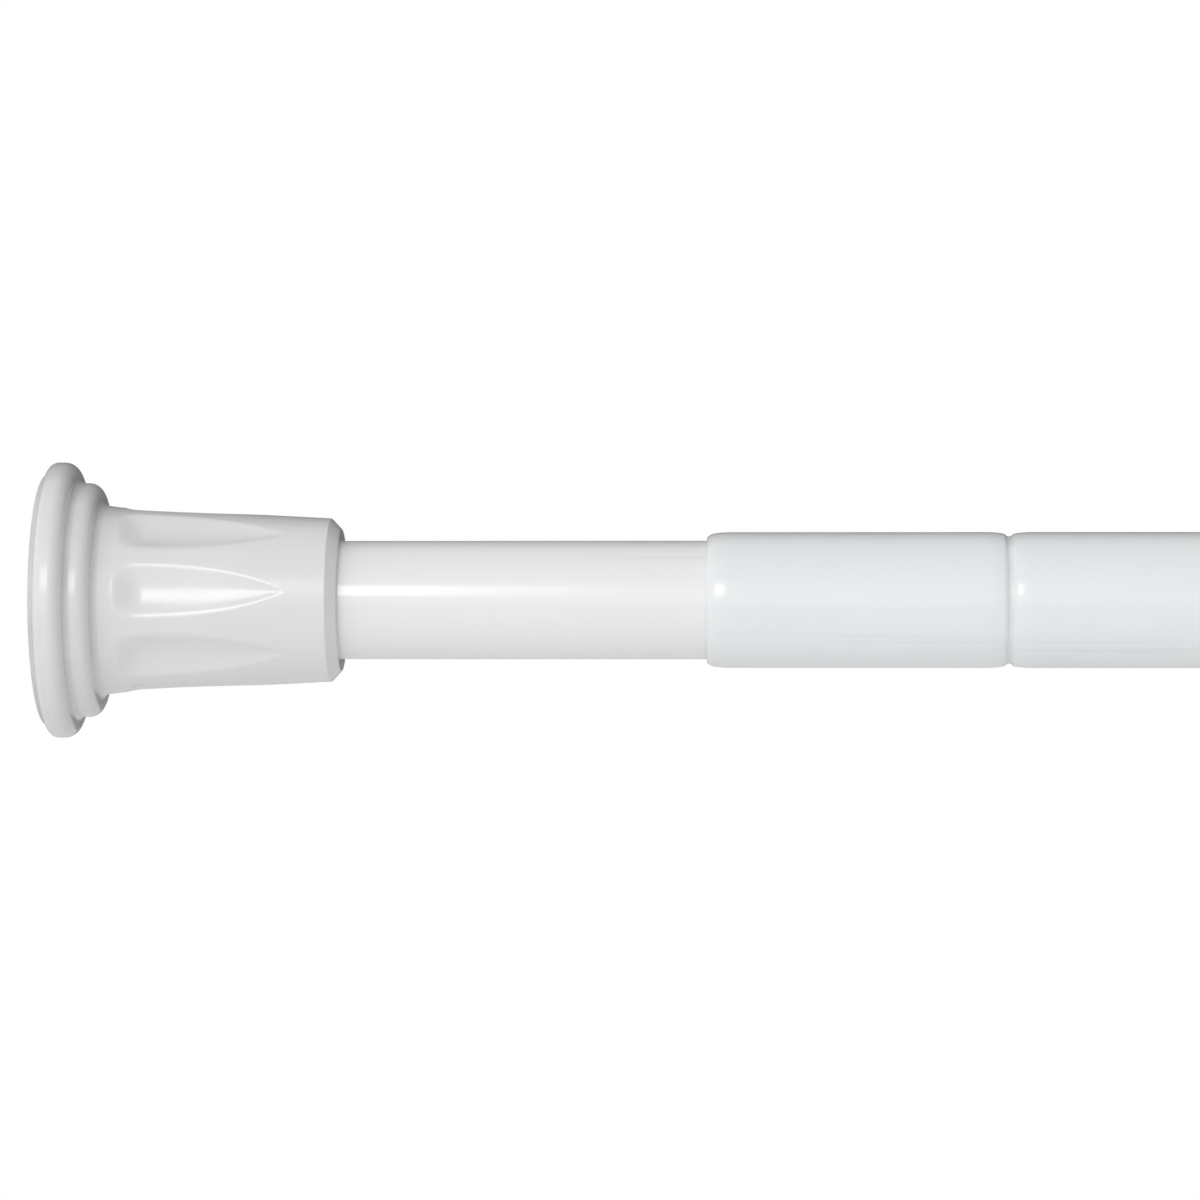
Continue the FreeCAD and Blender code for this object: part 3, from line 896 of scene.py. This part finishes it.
def finish(
    name,
    base,
    rough,
    grain,
    tint,
    bump,
    stretch=(1, 1, 1),
    worn_and_shaded=None,
    edge=0.0,
    scuff=0.0,
    metallic=0.0,
    glow=0.0,
):
    """Procedural finish: cloudy tint, uneven roughness, a fine grain, wear, and painted shade in hollow
    corners, all on object coordinates.

    rough is the range of roughness, grain the frequency of the grain, tint how far the colour strays
    and bump the strength of the relief. stretch scales the grain along the rod and across it. The
    colour given for worn places goes on worn edges and scuffs, and into hollow corners as painted
    shade; edge sets its strength along the edges and in the corners, and scuff that of the scuffs.
    metallic and glow go to the shader as they are.
    """
    material = bpy.data.materials.new(name)
    material.use_nodes = True
    tree = material.node_tree
    spot = node(tree, "ShaderNodeTexCoord", (-6, 0)).outputs["Object"]
    fine = noise(tree, (-4, 1), stretched(tree, (-5, 1), spot, stretch), grain)
    cloud = noise(tree, (-4, 0), spot, grain / CLOUD_GRAINS, CLOUD_DETAIL)
    dark = [channel * (1 - tint) for channel in base]
    tone = shades(tree, (-2, 0), spread(tree, (-3, 0), cloud, 0, 1), (*dark, 1), (*base, 1))
    gloss = spread(tree, (-3, 1), cloud, *rough)
    if worn_and_shaded:
        mask = wear_and_shade_mask(tree, spot, edge, scuff)
        # Darker colour on worn edges and scuffs, and painted shade in hollow corners.
        tone = shades(tree, (-1, 0), mask, tone, (*worn_and_shaded, 1))
        gloss = joined(tree, (-1, 1), "ADD", gloss, joined(tree, (-2, 1), "MULTIPLY", mask, WORN_GLOSS))
    relief = node(tree, "ShaderNodeBump", (-2, 2), {"Strength": bump, "Distance": RELIEF, "Height": fine})
    look = {"Base Color": tone, "Roughness": gloss, "Normal": relief.outputs["Normal"]}
    look.update({"Metallic": metallic, "Emission Color": WHITE, "Emission Strength": glow})
    feed(tree, tree.nodes["Principled BSDF"], look)
    return material


def dress(piece, material, body, slot, *nodes):
    """Gives a new piece its finish in its one material slot and its body, and hides the CAD nodes that it
    stands for. slot is not used.
    """
    piece.data.materials.append(material)
    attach(piece, body)
    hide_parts(*nodes)


def coat_node(name, material):
    """Gives a carried CAD node its finish."""
    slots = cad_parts[name].data.materials
    slots.clear()
    slots.append(material)


def from_left(box):
    """Function that measures from the left side of a node's box towards the right."""
    return lambda depth: box[0].x + depth


def from_right(box):
    """Function that measures from the right side of a node's box towards the left."""
    return lambda depth: box[1].x - depth


class ROD_OT_end_caps(bpy.types.Operator):
    """Make both moulded end caps"""

    bl_idname = "tension_rod.end_caps"
    bl_label = "End caps"

    def execute(self, context):
        rod = settings()
        white = finish("cap_plastic_white", rod.finish.cap, worn_and_shaded=rod.finish.plastic_dirt_and_shade, **PLASTIC)
        left_bore = INNER_TUBE[1].z + rod.cap.socket_clearance
        right_bore = OUTER_TUBE[1].z + rod.cap.socket_clearance
        left = cap_surface("left_cap_moulding", rod.cap, left_bore, from_left(LEFT_CAP))
        dress(left, white, "small_end", "cap_plastic", "left_end_cap")
        right = cap_surface("right_cap_moulding", rod.cap, right_bore, from_right(RIGHT_CAP))
        dress(right, white, "large_end", "cap_plastic", "right_end_cap")
        return {"FINISHED"}


class ROD_OT_tubes(bpy.types.Operator):
    """Make the thin and the thick tube"""

    bl_idname = "tension_rod.tubes"
    bl_label = "Tubes"

    def execute(self, context):
        tube, colours = settings().tube, settings().finish
        paint = {"stretch": PAINT_STRETCH, "worn_and_shaded": colours.paint_wear_and_shade, **PAINT}
        thin = finish("thin_tube_white", colours.thin_tube, **paint)
        inner = tube_skin("thin_tube", plain_outline(INNER_TUBE, tube.wall, tube.edge_round), tube)
        dress(inner, thin, "small_end", "inner_paint", "inner_tube")
        thick = finish("thick_tube_white", colours.thick_tube, **paint)
        outer = tube_skin("thick_tube", outer_outline(tube), tube)
        dress(outer, thick, "large_end", "outer_paint", "outer_tube")
        return {"FINISHED"}


class ROD_OT_wall_pads(bpy.types.Operator):
    """Make both rubber wall pads"""

    bl_idname = "tension_rod.wall_pads"
    bl_label = "Wall pads"

    def execute(self, context):
        rod = settings()
        rubber = finish("pad_rubber_grey", rod.finish.pad, worn_and_shaded=rod.finish.plastic_dirt_and_shade, **RUBBER)
        left = pad_surface("left_pad", rod.pad, from_left(LEFT_PAD))
        dress(left, rubber, "small_end", "pad_rubber", "left_wall_pad")
        right = pad_surface("right_pad", rod.pad, from_right(RIGHT_PAD))
        dress(right, rubber, "large_end", "pad_rubber", "right_wall_pad")
        return {"FINISHED"}


class ROD_OT_spring(bpy.types.Operator):
    """Make the compression spring"""

    bl_idname = "tension_rod.spring"
    bl_label = "Spring"

    def execute(self, context):
        rod = settings()
        steel = finish("spring_steel_oiled", rod.finish.spring, **SPRING_STEEL)
        coil = spring_surface("coil_spring", rod.spring)
        dress(coil, steel, "small_end", "spring_steel", "compression_spring")
        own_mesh(coil)
        return {"FINISHED"}


class ROD_OT_inner_parts(bpy.types.Operator):
    """Make the parts inside the tubes and give them their finishes"""

    bl_idname = "tension_rod.inner_parts"
    bl_label = "Inner parts"

    def execute(self, context):
        core, colours = settings().core, settings().finish
        nylon = finish("plug_nylon_natural", colours.nylon, **NYLON)
        black = finish("collet_nylon_black", colours.black_nylon, **BLACK_NYLON)
        zinc = finish("zinc_plated_steel", colours.steel, **ZINC)
        cast = finish("cast_metal", colours.cast, **CAST_METAL)
        milky = finish("sleeve_polythene", colours.sleeve, **POLYTHENE)
        stop = stop_surface("spring_seat", core)
        dress(stop, nylon, "small_end", "plug_nylon", "spring_stop")
        plug = plug_surface("hexagon_plug", core)
        dress(plug, nylon, "small_end", "plug_nylon", "tube_plug")
        plunger = plunger_surface("threaded_plunger", core)
        dress(plunger, zinc, "plunger", "rod_steel", "plunger_rod")
        nut = nut_surface("stop_nut", core)
        dress(nut, zinc, "plunger", "nut_steel", "end_stop_nut")
        sleeve = sleeve_surface("slide_sleeve", core)
        dress(sleeve, milky, "large_end", "sleeve_plastic", "guide_sleeve")
        coat_node("expander_collet", black)
        coat_node("wedge_nut", cast)
        return {"FINISHED"}


def facing(spot, aim):
    """Turn that makes a lamp or a camera at a spot look at its aim, with its top upwards."""
    return (Vector(aim) - Vector(spot)).to_track_quat("-Z", "Y").to_euler()


def area_light(name, spot, aim, size, power, beam=np.pi, mirrored=True):
    """Rectangular soft light that faces a point, with the full angle of its beam.

    One that is not mirrored leaves no glint on the paint.
    """
    data = bpy.data.lights.new(name, "AREA")
    data.shape = "RECTANGLE"
    data.size, data.size_y = size
    data.energy = power
    data.spread = beam
    lamp = bpy.data.objects.new(name, data)
    lamp.location = spot
    lamp.rotation_euler = facing(spot, aim)
    lamp.visible_camera = False
    lamp.visible_glossy = mirrored
    bpy.context.scene.collection.objects.link(lamp)


def white_tent(stage):
    """Soft light from all round: white on the left, fading to the right, with a dark opening at the back.

    It is brightest about a direction in front, a little to the left. The camera itself sees plain white.
    """
    world = bpy.data.worlds.new("white_tent")
    world.use_nodes = True
    tree = world.node_tree
    ray = node(tree, "ShaderNodeTexCoord", (-6, 0)).outputs["Generated"]
    way = node(tree, "ShaderNodeSeparateXYZ", (-5, 0), {0: ray}).outputs
    side = spread(tree, (-4, 0), way["X"], stage.tent_left, stage.tent_right, -1, 1)
    back = spread(tree, (-4, 1), way["Y"], 1.0, stage.tent_back, stage.back_start, stage.back_end)
    middle = Vector(stage.front_way).normalized()
    ahead = node(tree, "ShaderNodeVectorMath", (-5, 2), {0: ray, 1: middle}, operation="DOT_PRODUCT")
    toward = spread(tree, (-5, 3), ahead.outputs["Value"], 0, 1, 0, 1)
    near = joined(tree, (-4, 2), "POWER", toward, stage.front_focus)
    front = spread(tree, (-3, 2), near, 1.0, 1.0 + stage.tent_front, 0, 1)
    both = joined(tree, (-3, 0), "MULTIPLY", side, back)
    tent = tree.nodes["Background"]
    feed(tree, tent, {"Color": WHITE, "Strength": joined(tree, (-2, 0), "MULTIPLY", both, front)})
    seen = node(tree, "ShaderNodeBackground", (-1, 2), {"Color": WHITE})
    camera = node(tree, "ShaderNodeLightPath", (-1, 3)).outputs["Is Camera Ray"]
    mix = node(tree, "ShaderNodeMixShader", (1, 1), {0: camera, 1: tent.outputs[0], 2: seen.outputs[0]})
    feed(tree, tree.nodes["World Output"], {"Surface": mix.outputs[0]})
    return world


class ROD_OT_stage(bpy.types.Operator):
    """Make the floor, the lights and the camera"""

    bl_idname = "tension_rod.stage"
    bl_label = "Stage"

    def execute(self, context):
        scene, stage = context.scene, settings().stage
        half, low = stage.floor_size, -stage.floor_drop
        mesh = bpy.data.meshes.new("floor")
        corners = [(-half, -half, low), (half, -half, low), (half, half, low), (-half, half, low)]
        mesh.from_pydata(corners, [], [(0, 1, 2, 3)])
        floor = bpy.data.objects.new("floor", mesh)
        scene.collection.objects.link(floor)
        pale = finish("floor_pale", settings().finish.floor, glow=stage.floor_glow, **PALE_FLOOR)
        mesh.materials.append(pale)

        scene.world = white_tent(stage)
        area_light("flash", stage.flash_place, stage.flash_aim, stage.flash_size, stage.flash_power)
        fill = (stage.fill_place, stage.fill_aim, stage.fill_size, stage.fill_power)
        area_light("back_fill", *fill, stage.fill_beam, mirrored=False)

        camera_data = bpy.data.cameras.new("camera")
        camera_data.lens = stage.lens
        camera = bpy.data.objects.new("camera", camera_data)
        camera.location = (stage.camera_x, -stage.camera_distance, 0)
        camera.rotation_euler = facing(camera.location, (stage.aim_x, 0, 0))
        scene.collection.objects.link(camera)
        scene.camera = camera
        scene.view_settings.view_transform = "Standard"
        return {"FINISHED"}


OPERATORS = (
    ROD_OT_end_caps,
    ROD_OT_tubes,
    ROD_OT_wall_pads,
    ROD_OT_spring,
    ROD_OT_inner_parts,
    ROD_OT_stage,
)


class ROD_PT_tools(bpy.types.Panel):
    """Lists the steps that dress the rod"""

    bl_idname = "ROD_PT_tools"
    bl_label = "Tension rod"
    bl_space_type = "VIEW_3D"
    bl_region_type = "UI"
    bl_category = "Tension rod"

    def draw(self, context):
        for operator in OPERATORS:
            self.layout.operator(operator.bl_idname)


SIZES = (RodCapSizes, RodTubeSizes, RodPadSizes, RodSpringSizes, RodCoreSizes)
GROUPS = SIZES + (RodFinishes, RodStageSettings, RodSettings)
CLASSES = GROUPS + OPERATORS + (ROD_PT_tools,)


def register():
    """Adds the classes and the scene's settings."""
    for item in CLASSES:
        bpy.utils.register_class(item)
    bpy.types.Scene.tension_rod = PointerProperty(type=RodSettings)


def unregister():
    """Takes the settings and the classes away."""
    del bpy.types.Scene.tension_rod
    for item in reversed(CLASSES):
        bpy.utils.unregister_class(item)


def main():
    """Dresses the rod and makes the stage."""
    register()
    bpy.ops.tension_rod.end_caps()
    bpy.ops.tension_rod.tubes()
    bpy.ops.tension_rod.wall_pads()
    bpy.ops.tension_rod.spring()
    bpy.ops.tension_rod.inner_parts()
    bpy.ops.tension_rod.stage()


if __name__ == "__main__":
    main()
